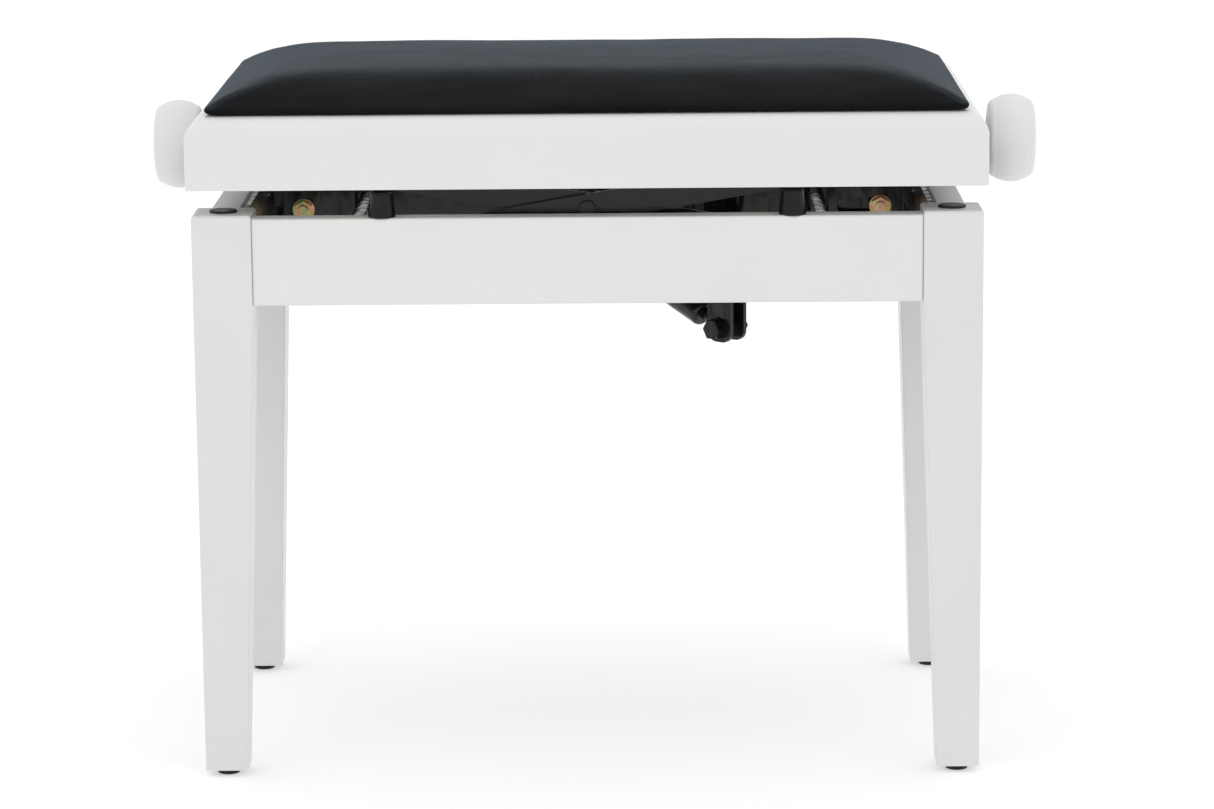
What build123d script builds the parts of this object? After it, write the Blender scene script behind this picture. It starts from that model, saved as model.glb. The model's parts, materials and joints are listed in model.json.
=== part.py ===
from build123d import *
import math
import os

# Height-adjustable piano bench. Millimetres, +Z up, +Y to the back, floor at z = 0,
# origin on the floor under the middle of the seat frame.

# ---- wooden base ----
BASE_W = 549.0
BASE_D = 320.0
LEG_SIDE = 41.5
LEG_FOOT_SIDE = 30.0
LEG_TOP = 403.0
LEG_EASE = 1.2
GLIDE_H = 5.0
GLIDE_R = 8.0
GLIDE_NAIL_R = 1.5
GLIDE_NAIL_L = 12.0
APRON_LOW = 339.5
APRON_TOP = 400.5
FRONT_APRON_T = 17.0
FRONT_RECESS = 1.5
SIDE_APRON_T = 20.0
SIDE_RECESS = 8.7
APRON_EASE = 1.6
DOWEL_R = 4.0
DOWEL_HALF = 18.0
DOWEL_Z = (355.0, 385.0)
PAD_R = 9.8
PAD_T = 1.6
PAD_STEM_R = 4.0
PAD_STEM_L = 6.5
BUMPER_X = 142.5
BUMPER_H = 17.5
BUMPER_LOW_R = 9.75
BUMPER_TOP_R = 7.9
BUMPER_STEM_R = 3.0
BUMPER_STEM_L = 9.5

# ---- seat ----
SEAT_W = 555.0
SEAT_D = 332.0
SEAT_LOW = 421.5
SEAT_TOP = 471.5
SEAT_RAIL_T = 24.0
SEAT_ROUND = 16.0
SEAT_CORNER_R = 4.0
BOARD_T = 9.0
RABBET = 6.0
CUSHION_W = 528.0
CUSHION_D = 305.0
CUSHION_EDGE = 9.0
CUSHION_TOP = 501.0
CUSHION_SLOPE = 60.0
CUSHION_CORNER_R = 12.0

# ---- crossed arms ----
ARM_L = 443.0
ARM_W = 20.0
ARM_T = 4.0
PIVOT_Z = 366.0
UPPER_Z = 440.6
BOLT_R = 4.0
RUNNING = 0.05
RISING_OUT = 137.5
FALLING_OUT = 132.5
TRAVEL = 25.6
BUSH_R = 6.0
BUSH_LIP = 0.3
SPACER_R = 7.5
ARM_TIE_AT = 52.0
ARM_TIE_R = 8.0
ARM_TIE_END_R = 5.0
WASHER_R = 8.3
WASHER_T = 1.5
NUT_FLATS = 13.0
NUT_T = 6.5
PIVOT_HEAD_R = 8.0
CENTRE_HEAD_R = 6.0
CENTRE_HEAD_T = 2.8
SIDE_PLAY = 0.2
PLAY = 0.3

# ---- steel frames ----
STEEL = 3.0
RAIL_HALF = 232.3
RAIL_LOW = 345.0
RAIL_TOP = 391.0
RAIL_SHELF = 27.0
TIE_T = 5.0
TIE_LOW = 352.0
TIE_TOP = 398.0
TIE_HALF = 117.5
BRACKET_OUT = 117.5
BRACKET_END = 179.5
BRACKET_WING = 33.5
UPPER_OUT = 121.5
UPPER_LOW = 428.0
UPPER_SHELF = 15.0

# ---- wood screws ----
SCREW_R = 2.0
SCREW_HEAD_R = 3.6
SCREW_L = 14.0
SEAT_SCREW_GRIP = 7.0
RAIL_SCREWS_X = (-150.0, -50.0, 50.0, 150.0)
RAIL_SCREW_Z = 354.0
TIE_SCREWS_Y = (-60.0, 60.0)
TIE_SCREW_Z = 388.0
BRACKET_SCREW_Y = 96.0
BRACKET_SCREW_Z = 362.0
UPPER_SCREWS_X = (-200.0, 0.0, 200.0)
UPPER_SCREW_Y = 112.5

# ---- spindle, yoke and knobs ----
SPINDLE_Z = 432.4
SPINDLE_R = 6.0
SPINDLE_SHIFT = 4.0
BEARING_R = 9.0
BEARING_IN = 4.0
BEARING_OUT = 7.0
FLANGE_R = 9.9
FLANGE_T = 2.5
COLLAR_R = 9.0
COLLAR_L = 9.0
ESCUTCHEON_R = 10.5
ESCUTCHEON_T = 1.5
KNOB_X = 302.3
KNOB_R = 32.0
KNOB_HALF = 18.3
KNOB_DOME = 2.0
KNOB_FACE_R = 23.0
KNOB_CROWN_R = 28.6
KNOB_CROWN_HALF = 12.1
KNOB_CORNER_R = 26.4
KNOB_CORNER_HALF = 15.3
KNOB_BORE = 6.0
KNOB_SCREW_IN = 4.0
KNOB_SCREW_R = 2.5
KNOB_SCREW_L = 18.0
YOKE_W = 16.0
YOKE_LOW = 422.5
YOKE_HIGH = 449.5
YOKE_HALF = 115.0
YOKE_CHAMFER = 1.5
YOKE_SOCKET = 13.0
YOKE_NUT_FLANGE_R = 9.6
YOKE_NUT_FLANGE_T = 4.0
STUD_IN_YOKE = 11.0

# ---- lift-assist strut ----
STRUT_FOOT = (96.8, -75.0, 307.4)
STRUT_REACH = 220.0
STRUT_RISE = 22.6
STRUT_YAW = 43.0
TUBE_R = 10.5
TUBE_BORE_R = 8.5
TUBE_START = 20.0
TUBE_END = 150.0
TUBE_FOOT_ROUND = 3.5
GLAND_L = 8.0
FOOT_WALL = 12.0
NECK_R = 4.5
EYE_R = 8.0
ROD_R = 5.0
ROD_START = 76.0
PISTON_R = 8.4
PISTON_FROM = 70.0
PISTON_TO = 80.0
HEAD_EYE_R = 12.0
HEAD_EYE_HALF = 4.5
HEAD_PLAY = 3.2
CLEVIS_W = 22.0
CLEVIS_SHIFT = -2.0
CLEVIS_GAP = 11.0
CLEVIS_TOP = 388.0
CLEVIS_DROP = 9.5
CLEVIS_ROUND = 8.0
WEB_LOW = 356.0
WEB_H = 22.0
WEB_SHIFT = 6.0
WEB_W = 13.0
CROSSBAR_LEFT = 13.0
CROSSBAR_RIGHT = 19.0
CROSSBAR_T = 4.0
CROSSBAR_BOLT_Y = 127.0
CROSSBAR_BOLT_IN = 5.5
CROSSBAR_BOLT_L = 8.5
STRUT_HEAD_T = 5.3
STRUT_BOLT_TAIL = 9.0
SADDLE_DROP = 12.5
SADDLE_EAR_W = 25.0
SADDLE_EAR_L = 15.0
SADDLE_W = 30.0
SADDLE_SCREW_IN = 6.0
PIN_HALF = 9.5
PIN_HEAD_R = 6.0
PIN_HEAD_T = 2.4

# ---- worked out from the above ----
LEG_X = BASE_W / 2
LEG_Y = BASE_D / 2
APRON_OUT = LEG_Y - FRONT_RECESS
APRON_IN = APRON_OUT - FRONT_APRON_T
APRON_MID = (APRON_OUT + APRON_IN) / 2
SIDE_OUT = LEG_X - SIDE_RECESS
SIDE_IN = SIDE_OUT - SIDE_APRON_T
FRONT_HALF = LEG_X - LEG_SIDE
SIDE_HALF = LEG_Y - LEG_SIDE
BOARD_LOW = SEAT_TOP - BOARD_T
ARM_RISE = UPPER_Z - PIVOT_Z
ARM_ANGLE = math.degrees(math.asin(ARM_RISE / ARM_L))
ARM_HALF = ARM_L / 2
PIVOT_X = ARM_HALF * math.cos(math.radians(ARM_ANGLE))
CENTRE_Z = (PIVOT_Z + UPPER_Z) / 2
TIE_IN = SIDE_IN - TIE_T
CORNERS = [(sx, sy) for sx in (-1, 1) for sy in (-1, 1)]
PAST = 1.0  # how far a cutter runs past the face it leaves through


def block(x, y, z):
    """A box between two values on each axis."""
    size = [abs(hi - lo) for lo, hi in (x, y, z)]
    middle = [(hi + lo) / 2 for lo, hi in (x, y, z)]
    return Pos(*middle) * Box(*size)


def rod(start, end, radius):
    """A round bar from one point to another."""
    start, end = Vector(*start), Vector(*end)
    length = (end - start).length
    place = Plane(origin=start, z_dir=end - start)
    return place * Cylinder(radius, length, align=(Align.CENTER, Align.CENTER, Align.MIN))


def rod_x(x0, x1, y, z, radius):
    return rod((x0, y, z), (x1, y, z), radius)


def rod_y(x, y0, y1, z, radius):
    return rod((x, y0, z), (x, y1, z), radius)


def rod_z(x, y, z0, z1, radius):
    return rod((x, y, z0), (x, y, z1), radius)


def hexagon(start, end, across_flats):
    """A six-sided bar from one point to another."""
    start, end = Vector(*start), Vector(*end)
    corner = across_flats / 2 / math.cos(math.pi / 6)
    place = Plane(origin=start, z_dir=end - start)
    return extrude(place * RegularPolygon(corner, 6), (end - start).length)


def ring_x(x0, x1, z, outer, inner):
    """A ring round the spindle's line, given from its inner side to its outer side."""
    past = math.copysign(PAST, x1 - x0)
    return rod_x(x0, x1, 0, z, outer) - rod_x(x0 - past, x1 + past, 0, z, inner)


def ring_y(x, y0, y1, z, outer, inner):
    return rod_y(x, y0, y1, z, outer) - rod_y(x, y0 - PAST, y1 + PAST, z, inner)


def slot_y(x0, x1, z, half_height, y0, y1):
    """A round-ended slot cutter through a plate that faces Y."""
    body = block((x0, x1), (y0, y1), (z - half_height, z + half_height))
    return body + rod_y(x0, y0, y1, z, half_height) + rod_y(x1, y0, y1, z, half_height)


def front_and_rear(solid):
    """The part given for the front, and its mirror image at the back."""
    return [solid, mirror(solid, about=Plane.XZ)]


def group(solids):
    return Compound(children=[s for item in solids for s in item.solids()])


def pairs(*solids):
    """One node's worth of parts: each given solid and its mirror image at the back."""
    return group([one for solid in solids for one in front_and_rear(solid)])


def nearest_rim(solid, point):
    """The round edge of a solid that lies nearest a point."""
    return solid.edges().filter_by(GeomType.CIRCLE).sort_by_distance(point)[0]


def screw(start, toward, length, head_r=SCREW_HEAD_R):
    """Pan-head screw. The head stands on the start point, the shank runs toward."""
    start, toward = Vector(*start), Vector(*toward).normalized()
    head_h = head_r * 0.6
    top = start - toward * head_h
    head = rod(tuple(top), tuple(start), head_r)
    head = fillet(nearest_rim(head, top), head_h / 2)
    return head + rod(tuple(start), tuple(start + toward * length), SCREW_R)


# ---------------------------------------------------------------- wooden base
def leg(sx, sy):
    """Square above the apron's bottom edge, then tapered on its two inner faces."""
    x, y = sx * LEG_X, sy * LEG_Y

    def outline(side, z):
        square = RectangleRounded(side, side, LEG_EASE)
        return Pos(x - sx * side / 2, y - sy * side / 2, z) * square

    taper = loft([outline(LEG_FOOT_SIDE, GLIDE_H), outline(LEG_SIDE, APRON_LOW)])
    head = extrude(outline(LEG_SIDE, APRON_LOW), LEG_TOP - APRON_LOW)
    head = chamfer(head.faces().sort_by(Axis.Z)[-1].edges(), LEG_EASE)
    body = taper + head
    foot = (x - sx * LEG_FOOT_SIDE / 2, y - sy * LEG_FOOT_SIDE / 2)
    body -= rod_z(*foot, GLIDE_H - PAST, GLIDE_H + GLIDE_NAIL_L, GLIDE_NAIL_R)
    middle = (x - sx * LEG_SIDE / 2, y - sy * LEG_SIDE / 2)
    body -= rod_z(*middle, LEG_TOP - PAD_STEM_L, LEG_TOP + PAST, PAD_STEM_R)
    return body - group(leg_dowels(sx, sy))


def leg_dowels(sx, sy):
    """Two dowels into the front or rear apron and two into the side apron."""
    y = sy * APRON_MID
    x = sx * (SIDE_OUT + SIDE_IN) / 2
    mid_x, mid_y = sx * FRONT_HALF, sy * SIDE_HALF
    pins = []
    for z in DOWEL_Z:
        pins.append(rod_x(mid_x - DOWEL_HALF, mid_x + DOWEL_HALF, y, z, DOWEL_R))
        pins.append(rod_y(x, mid_y - DOWEL_HALF, mid_y + DOWEL_HALF, z, DOWEL_R))
    return pins


def all_dowels():
    return [pin for corner in CORNERS for pin in leg_dowels(*corner)]


def eased_board(x, y, z, outer_face):
    """A board with the four edges round its outer face eased."""
    board = block(x, y, z)
    return fillet(board.faces().sort_by(outer_face)[-1].edges(), APRON_EASE)


def long_apron_front():
    """Front apron, with sockets for dowels, stops, screws and bolt heads."""
    y = (-APRON_OUT, -APRON_IN)
    board = eased_board((-FRONT_HALF, FRONT_HALF), y, (APRON_LOW, APRON_TOP), -Axis.Y)
    board -= group(all_dowels())
    inner = -APRON_IN + PAST
    for x in (-BUMPER_X, BUMPER_X):
        board -= rod_z(x, -APRON_MID, APRON_TOP - BUMPER_STEM_L, APRON_TOP + PAST, BUMPER_STEM_R)
    head_gap = PIVOT_HEAD_R + PLAY
    board -= rod_y(-PIVOT_X, -APRON_IN - SPACER_R / 2, inner, PIVOT_Z, head_gap)
    for x in RAIL_SCREWS_X:
        board -= rod_y(x, -APRON_IN - SCREW_L + STEEL, inner, RAIL_SCREW_Z, SCREW_R)
    return board


def side_apron(sx):
    x = (sx * SIDE_OUT, sx * SIDE_IN)
    outward = Axis.X if sx > 0 else -Axis.X
    board = eased_board(x, (-SIDE_HALF, SIDE_HALF), (APRON_LOW, APRON_TOP), outward)
    board -= group(all_dowels())
    reach = SCREW_L - TIE_T
    for y in TIE_SCREWS_Y:
        board -= rod_x(sx * (SIDE_IN - PAST), sx * (SIDE_IN + reach), y, TIE_SCREW_Z, SCREW_R)
    return board


def foot_glide(sx, sy):
    x = sx * (LEG_X - LEG_FOOT_SIDE / 2)
    y = sy * (LEG_Y - LEG_FOOT_SIDE / 2)
    disc = rod_z(x, y, 0, GLIDE_H, GLIDE_R)
    disc = fillet(disc.edges().sort_by(Axis.Z)[0], 1.0)
    return disc + rod_z(x, y, GLIDE_H, GLIDE_H + GLIDE_NAIL_L, GLIDE_NAIL_R)


def leg_pad(sx, sy):
    """Low domed pad on the leg's top that the seat frame can come down on."""
    x = sx * (LEG_X - LEG_SIDE / 2)
    y = sy * (LEG_Y - LEG_SIDE / 2)
    disc = rod_z(x, y, LEG_TOP, LEG_TOP + PAD_T, PAD_R)
    disc = fillet(disc.edges().sort_by(Axis.Z)[-1], 1.0)
    return disc + rod_z(x, y, LEG_TOP - PAD_STEM_L, LEG_TOP, PAD_STEM_R)


def bumper_front(x):
    """Cone that stops the seat at its lowest height."""
    y = -APRON_MID
    cone = Pos(x, y, APRON_TOP + BUMPER_H / 2) * Cone(BUMPER_LOW_R, BUMPER_TOP_R, BUMPER_H)
    cone = fillet(cone.edges().sort_by(Axis.Z)[-1], 1.2)
    return cone + rod_z(x, y, APRON_TOP - BUMPER_STEM_L, APRON_TOP, BUMPER_STEM_R)


# ---------------------------------------------------------------- lower steel frame
def lower_rail_front():
    """Angle behind the front apron that carries the arms' lower pivots."""
    outer = -APRON_IN
    x = (-RAIL_HALF, RAIL_HALF)
    rail = block(x, (outer, outer + STEEL), (RAIL_LOW, RAIL_TOP))
    rail += block(x, (outer, outer + RAIL_SHELF), (RAIL_LOW, RAIL_LOW + STEEL))
    through = (outer - PAST, outer + STEEL + PAST)
    rail -= rod_y(-PIVOT_X, *through, PIVOT_Z, BOLT_R)
    rail -= pivot_slot(through)
    for x in RAIL_SCREWS_X:
        rail -= rod_y(x, *through, RAIL_SCREW_Z, SCREW_R)
    return rail - strut_crossbar_bolts()


def pivot_slot(through):
    """Cutter for the slot that the arms' sliding lower pivot runs in."""
    half_height = BUSH_R + PLAY / 3
    return slot_y(PIVOT_X - TRAVEL - 1, PIVOT_X + 1, PIVOT_Z, half_height, *through)


def side_tie(sx):
    """Flat bar on the side apron's inner face that holds the pivot brackets."""
    x = (sx * SIDE_IN, sx * TIE_IN)
    through = (sx * (TIE_IN - PAST), sx * (SIDE_IN + PAST))
    tie = block(x, (-TIE_HALF, TIE_HALF), (TIE_LOW, TIE_TOP))
    for y in TIE_SCREWS_Y:
        tie -= rod_x(*through, y, TIE_SCREW_Z, SCREW_R)
    for y in (-BRACKET_SCREW_Y, BRACKET_SCREW_Y):
        tie -= rod_x(*through, y, BRACKET_SCREW_Z, SCREW_R)
    return tie


def pivot_bracket_front(sx):
    """Corner angle that holds the inner end of a lower pivot."""
    y = (-BRACKET_OUT, -BRACKET_OUT + STEEL)
    bracket = block((sx * RAIL_HALF, sx * BRACKET_END), y, (RAIL_LOW + STEEL, RAIL_TOP))
    bracket += block((sx * TIE_IN, sx * RAIL_HALF), y, (TIE_LOW, RAIL_TOP))
    wing_x = (sx * TIE_IN, sx * (TIE_IN - STEEL))
    bracket += block(wing_x, (-BRACKET_OUT, -BRACKET_OUT + BRACKET_WING), (TIE_LOW, RAIL_TOP))
    through = (-BRACKET_OUT - PAST, -BRACKET_OUT + STEEL + PAST)
    if sx < 0:
        bracket -= rod_y(-PIVOT_X, *through, PIVOT_Z, BOLT_R)
    else:
        bracket -= pivot_slot(through)
    screw_x = (sx * (TIE_IN - STEEL - PAST), sx * (TIE_IN + PAST))
    return bracket - rod_x(*screw_x, -BRACKET_SCREW_Y, BRACKET_SCREW_Z, SCREW_R)


def fixed_pivot_bolt():
    """Left pivot bolt with its flat head let into the apron."""
    head = rod_y(-PIVOT_X, -APRON_IN - SPACER_R / 2 + PLAY, -APRON_IN, PIVOT_Z, PIVOT_HEAD_R)
    return head + rod_y(-PIVOT_X, -APRON_IN, -BRACKET_OUT + STUD_IN_YOKE + STEEL, PIVOT_Z, BOLT_R)


def fixed_pivot_spacer():
    y0 = -RISING_OUT + ARM_T + SIDE_PLAY
    return ring_y(-PIVOT_X, y0, -BRACKET_OUT, PIVOT_Z, SPACER_R, BOLT_R)


def washer(x, z, y0):
    return ring_y(x, y0, y0 + WASHER_T, z, WASHER_R, BOLT_R)


def nut(x, z, y0):
    body = hexagon((x, y0, z), (x, y0 + NUT_T, z), NUT_FLATS)
    return body - rod_y(x, y0 - PAST, y0 + NUT_T + PAST, z, BOLT_R)


def rail_screws():
    inner = -APRON_IN + STEEL
    return pairs(*[screw((x, inner, RAIL_SCREW_Z), (0, -1, 0), SCREW_L) for x in RAIL_SCREWS_X])


def tie_screws():
    solids = []
    for sx in (-1, 1):
        for y in TIE_SCREWS_Y:
            solids.append(screw((sx * TIE_IN, y, TIE_SCREW_Z), (sx, 0, 0), SCREW_L))
        for y in (-BRACKET_SCREW_Y, BRACKET_SCREW_Y):
            start = (sx * (TIE_IN - STEEL), y, BRACKET_SCREW_Z)
            solids.append(screw(start, (sx, 0, 0), TIE_T + STEEL - SIDE_PLAY))
    return group(solids)


# ---------------------------------------------------------------- crossed arms
def arm_bar(y_out, holes):
    """Flat bar along X with round ends, before it is tilted. Holes are (distance, radius)."""
    y = (-y_out, -y_out + ARM_T)
    bar = block((-ARM_HALF, ARM_HALF), y, (-ARM_W / 2, ARM_W / 2))
    bar += rod_y(-ARM_HALF, *y, 0, ARM_W / 2) + rod_y(ARM_HALF, *y, 0, ARM_W / 2)
    for along, radius in holes:
        bar -= rod_y(along, y[0] - PAST, y[1] + PAST, 0, radius)
    return bar


def tilt(solid, sign):
    """Turn a bar made along X about the centre pivot to its rest angle."""
    return Pos(0, 0, CENTRE_Z) * Rot(0, -sign * ARM_ANGLE, 0) * solid


def rising_arm_front():
    """Turns on the fixed lower left pivot. Its welded stud at the upper right is in the yoke."""
    holes = [(-ARM_HALF, BOLT_R + RUNNING), (0, BOLT_R), (ARM_TIE_AT - ARM_HALF, ARM_TIE_END_R)]
    stud_y = (-RISING_OUT + ARM_T / 2, -YOKE_HALF + STUD_IN_YOKE)
    return tilt(arm_bar(RISING_OUT, holes), 1) + rod_y(PIVOT_X, *stud_y, UPPER_Z, BOLT_R)


def falling_arm_front():
    """Hung by a welded stud at its upper left, slides in the rail slot at its lower right."""
    holes = [(0, BOLT_R + RUNNING), (ARM_HALF, BOLT_R), (ARM_HALF - ARM_TIE_AT, ARM_TIE_END_R)]
    stud_y = (-FALLING_OUT + ARM_T / 2, -UPPER_OUT + 2 * NUT_T)
    return tilt(arm_bar(FALLING_OUT, holes), -1) + rod_y(-PIVOT_X, *stud_y, UPPER_Z, BOLT_R)


def arm_tie(y_out, along, sign):
    """Round bar that joins the front and rear arms of a pair, with turned-down ends."""
    inner = y_out - ARM_T
    bar = rod_y(along, -inner, inner, 0, ARM_TIE_R)
    return tilt(bar + rod_y(along, -y_out, y_out, 0, ARM_TIE_END_R), sign)


def centre_bolt():
    head = rod_y(0, -RISING_OUT - CENTRE_HEAD_T, -RISING_OUT, CENTRE_Z, CENTRE_HEAD_R)
    head = fillet(head.edges().sort_by(Axis.Y)[0], 1.0)
    return head + rod_y(0, -RISING_OUT, -FALLING_OUT + ARM_T + STUD_IN_YOKE, CENTRE_Z, BOLT_R)


def centre_washers():
    gap = ring_y(0, -RISING_OUT + ARM_T, -FALLING_OUT, CENTRE_Z, WASHER_R, BOLT_R)
    return [gap, washer(0, CENTRE_Z, -FALLING_OUT + ARM_T + SIDE_PLAY)]


def slide_pin():
    """Pin of the sliding lower right end, from the rail slot to past the bracket."""
    y = (-APRON_IN + PLAY, -BRACKET_OUT + STEEL + STUD_IN_YOKE)
    return rod_y(PIVOT_X, *y, PIVOT_Z, BOLT_R)


def slide_bushes():
    rail_bush = (-APRON_IN + PLAY, -APRON_IN + STEEL + BUSH_LIP)
    bracket_bush = (-BRACKET_OUT - BUSH_LIP, -BRACKET_OUT + STEEL + BUSH_LIP)
    return [ring_y(PIVOT_X, *y, PIVOT_Z, BUSH_R, BOLT_R) for y in (rail_bush, bracket_bush)]


def slide_spacers():
    outer = (-APRON_IN + STEEL + BUSH_LIP, -FALLING_OUT)
    inner = (-FALLING_OUT + ARM_T, -BRACKET_OUT - BUSH_LIP)
    return [ring_y(PIVOT_X, *y, PIVOT_Z, SPACER_R, BOLT_R) for y in (outer, inner)]


# ---------------------------------------------------------------- seat frame
def seat_rail(direction, half_length, half_across):
    """One mitred rail, drawn with its outer face at -Y and then turned into place."""
    y0, y1 = -half_across, -half_across + SEAT_RAIL_T
    rail = block((-half_length, half_length), (y0, y1), (SEAT_LOW, SEAT_TOP))
    outer_top = rail.edges().filter_by(Axis.X).sort_by(Axis.Y)[:2].sort_by(Axis.Z)[-1]
    rail = fillet(outer_top, SEAT_ROUND)
    rail -= block((-half_length, half_length), (y1 - RABBET, y1 + 1), (BOARD_LOW, SEAT_TOP + 1))
    for sx in (-1, 1):
        wedge = Polyline(
            (sx * half_length, y0),
            (sx * (half_length - 2 * SEAT_RAIL_T), y0 + 2 * SEAT_RAIL_T),
            (sx * (half_length + 2 * SEAT_RAIL_T), y0 + 2 * SEAT_RAIL_T),
            close=True,
        )
        height = SEAT_TOP - SEAT_LOW + 2 * PAST
        rail -= Pos(0, 0, SEAT_LOW - PAST) * extrude(make_face(wedge), height)
    footprint = Pos(0, 0, SEAT_LOW) * RectangleRounded(SEAT_W, SEAT_D, SEAT_CORNER_R)
    return (Rot(0, 0, direction) * rail) & extrude(footprint, SEAT_TOP - SEAT_LOW)


def side_seat_rail(sx):
    rail = seat_rail(90 * sx, SEAT_D / 2, SEAT_W / 2)
    half = SEAT_W / 2
    through = (sx * (half - SEAT_RAIL_T - PAST), sx * (half + PAST))
    return rail - rod_x(*through, 0, SPINDLE_Z, SPINDLE_R + PLAY)


def seat_board():
    half_x = SEAT_W / 2 - SEAT_RAIL_T + RABBET
    half_y = SEAT_D / 2 - SEAT_RAIL_T + RABBET
    board = block((-half_x, half_x), (-half_y, half_y), (BOARD_LOW, SEAT_TOP))
    return board - seat_screws()


def cushion():
    """Plain form of the padded top: a low upright edge under a sloped crown."""
    outline = RectangleRounded(CUSHION_W, CUSHION_D, CUSHION_CORNER_R)
    edge = extrude(Pos(0, 0, SEAT_TOP) * outline, CUSHION_EDGE)
    flat_w, flat_d = CUSHION_W - 2 * CUSHION_SLOPE, CUSHION_D - 2 * CUSHION_SLOPE
    flat = Pos(0, 0, CUSHION_TOP) * RectangleRounded(flat_w, flat_d, CUSHION_CORNER_R)
    return edge + loft([Pos(0, 0, SEAT_TOP + CUSHION_EDGE) * outline, flat])


def seat_screws():
    spots = [(x, sy * UPPER_SCREW_Y) for x in UPPER_SCREWS_X for sy in (-1, 1)]
    length = STEEL + SEAT_SCREW_GRIP
    under = BOARD_LOW - STEEL
    return group([screw((x, y, under), (0, 0, 1), length) for x, y in spots + saddle_screw_spots()])


def upper_rail_front():
    """Angle under the seat board. Its hanging flange carries the arms' upper ends."""
    x = (-RAIL_HALF, RAIL_HALF)
    outer = -UPPER_OUT
    rail = block(x, (outer, outer + STEEL), (UPPER_LOW, BOARD_LOW))
    rail += block(x, (outer, outer + UPPER_SHELF), (BOARD_LOW - STEEL, BOARD_LOW))
    through = (outer - PAST, outer + STEEL + PAST)
    hole_r = BOLT_R + 1.0
    rail -= slot_y(PIVOT_X - TRAVEL - STEEL, PIVOT_X + STEEL, UPPER_Z, hole_r, *through)
    rail -= rod_y(-PIVOT_X, *through, UPPER_Z, hole_r)
    return rail - seat_screws()


def end_plate(sx):
    """Plate across the upper rails' ends that carries a spindle bearing."""
    x = (sx * RAIL_HALF, sx * (RAIL_HALF + STEEL))
    plate = block(x, (-UPPER_OUT, UPPER_OUT), (SEAT_LOW + 1, BOARD_LOW))
    through = (sx * (RAIL_HALF - PAST), sx * (RAIL_HALF + STEEL + PAST))
    return plate - rod_x(*through, 0, SPINDLE_Z, BEARING_R)


def spindle_bearing(sx):
    """Flanged bush pressed into the end plate."""
    x = (sx * (RAIL_HALF - BEARING_IN), sx * (RAIL_HALF + BEARING_OUT))
    flange = (sx * (RAIL_HALF + STEEL), sx * (RAIL_HALF + STEEL + FLANGE_T))
    body = rod_x(*x, 0, SPINDLE_Z, BEARING_R) + rod_x(*flange, 0, SPINDLE_Z, FLANGE_R)
    bore = (x[0] - sx * PAST, x[1] + sx * PAST)
    return body - rod_x(*bore, 0, SPINDLE_Z, SPINDLE_R + RUNNING)


def escutcheon(sx):
    """Round plate round the spindle on the seat frame's side."""
    x = (sx * SEAT_W / 2, sx * (SEAT_W / 2 + ESCUTCHEON_T))
    return ring_x(*x, SPINDLE_Z, ESCUTCHEON_R, SPINDLE_R + RUNNING)


# ---------------------------------------------------------------- spindle and yoke
def knob_profile():
    """Half section of a knob: two domed faces, rounded corners and a crowned rim."""
    face = (KNOB_FACE_R, KNOB_HALF - KNOB_DOME)
    middle = (KNOB_FACE_R / 2, KNOB_HALF - KNOB_DOME / 4)
    corner = (KNOB_CORNER_R, KNOB_CORNER_HALF)
    crown = (KNOB_CROWN_R, KNOB_CROWN_HALF)

    def low(point):
        return (point[0], -point[1])

    edges = [
        Line((0, -KNOB_HALF), (0, KNOB_HALF)),
        ThreePointArc((0, KNOB_HALF), middle, face),
        ThreePointArc(face, corner, crown),
        ThreePointArc(crown, (KNOB_R, 0), low(crown)),
        ThreePointArc(low(crown), low(corner), low(face)),
        ThreePointArc(low(face), low(middle), (0, -KNOB_HALF)),
    ]
    return make_face(Wire([edge.edge() for edge in edges]))


def knob(sx):
    """Crowned round knob, bored blind from its inner face, with a cross hole for its screw."""
    x = sx * KNOB_X + SPINDLE_SHIFT
    body = Pos(x, 0, SPINDLE_Z) * Rot(45, 0, 0) * Rot(0, 0, -90 * sx) * revolve(knob_profile(), Axis.Y)
    body -= rod_x(x - sx * (KNOB_HALF + PAST), spindle_end(sx), 0, SPINDLE_Z, SPINDLE_R)
    return body - rod_z(knob_screw_x(sx), 0, SPINDLE_Z - KNOB_R - PAST, SPINDLE_Z, KNOB_SCREW_R)


def knob_screw_x(sx):
    return sx * (KNOB_X - KNOB_SCREW_IN) + SPINDLE_SHIFT


def knob_screw(sx):
    """Grub screw that pins a knob to the spindle from the rim."""
    top = SPINDLE_Z - SPINDLE_R
    return rod_z(knob_screw_x(sx), 0, top - KNOB_SCREW_L, top, KNOB_SCREW_R)


def spindle_end(sx):
    return sx * (KNOB_X + KNOB_BORE) + SPINDLE_SHIFT


def spindle():
    return rod_x(spindle_end(-1), spindle_end(1), 0, SPINDLE_Z, SPINDLE_R)


def stand_off():
    """Sleeve between the frame's right side and the right knob."""
    x = (SEAT_W / 2 + ESCUTCHEON_T + PLAY, KNOB_X + SPINDLE_SHIFT - KNOB_HALF)
    return ring_x(*x, SPINDLE_Z, COLLAR_R, SPINDLE_R)


def set_collar(sx):
    """Collar outside each end plate that keeps the spindle from sliding."""
    x0 = RAIL_HALF + BEARING_OUT + SIDE_PLAY
    return ring_x(sx * x0, sx * (x0 + COLLAR_L), SPINDLE_Z, COLLAR_R, SPINDLE_R)


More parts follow.
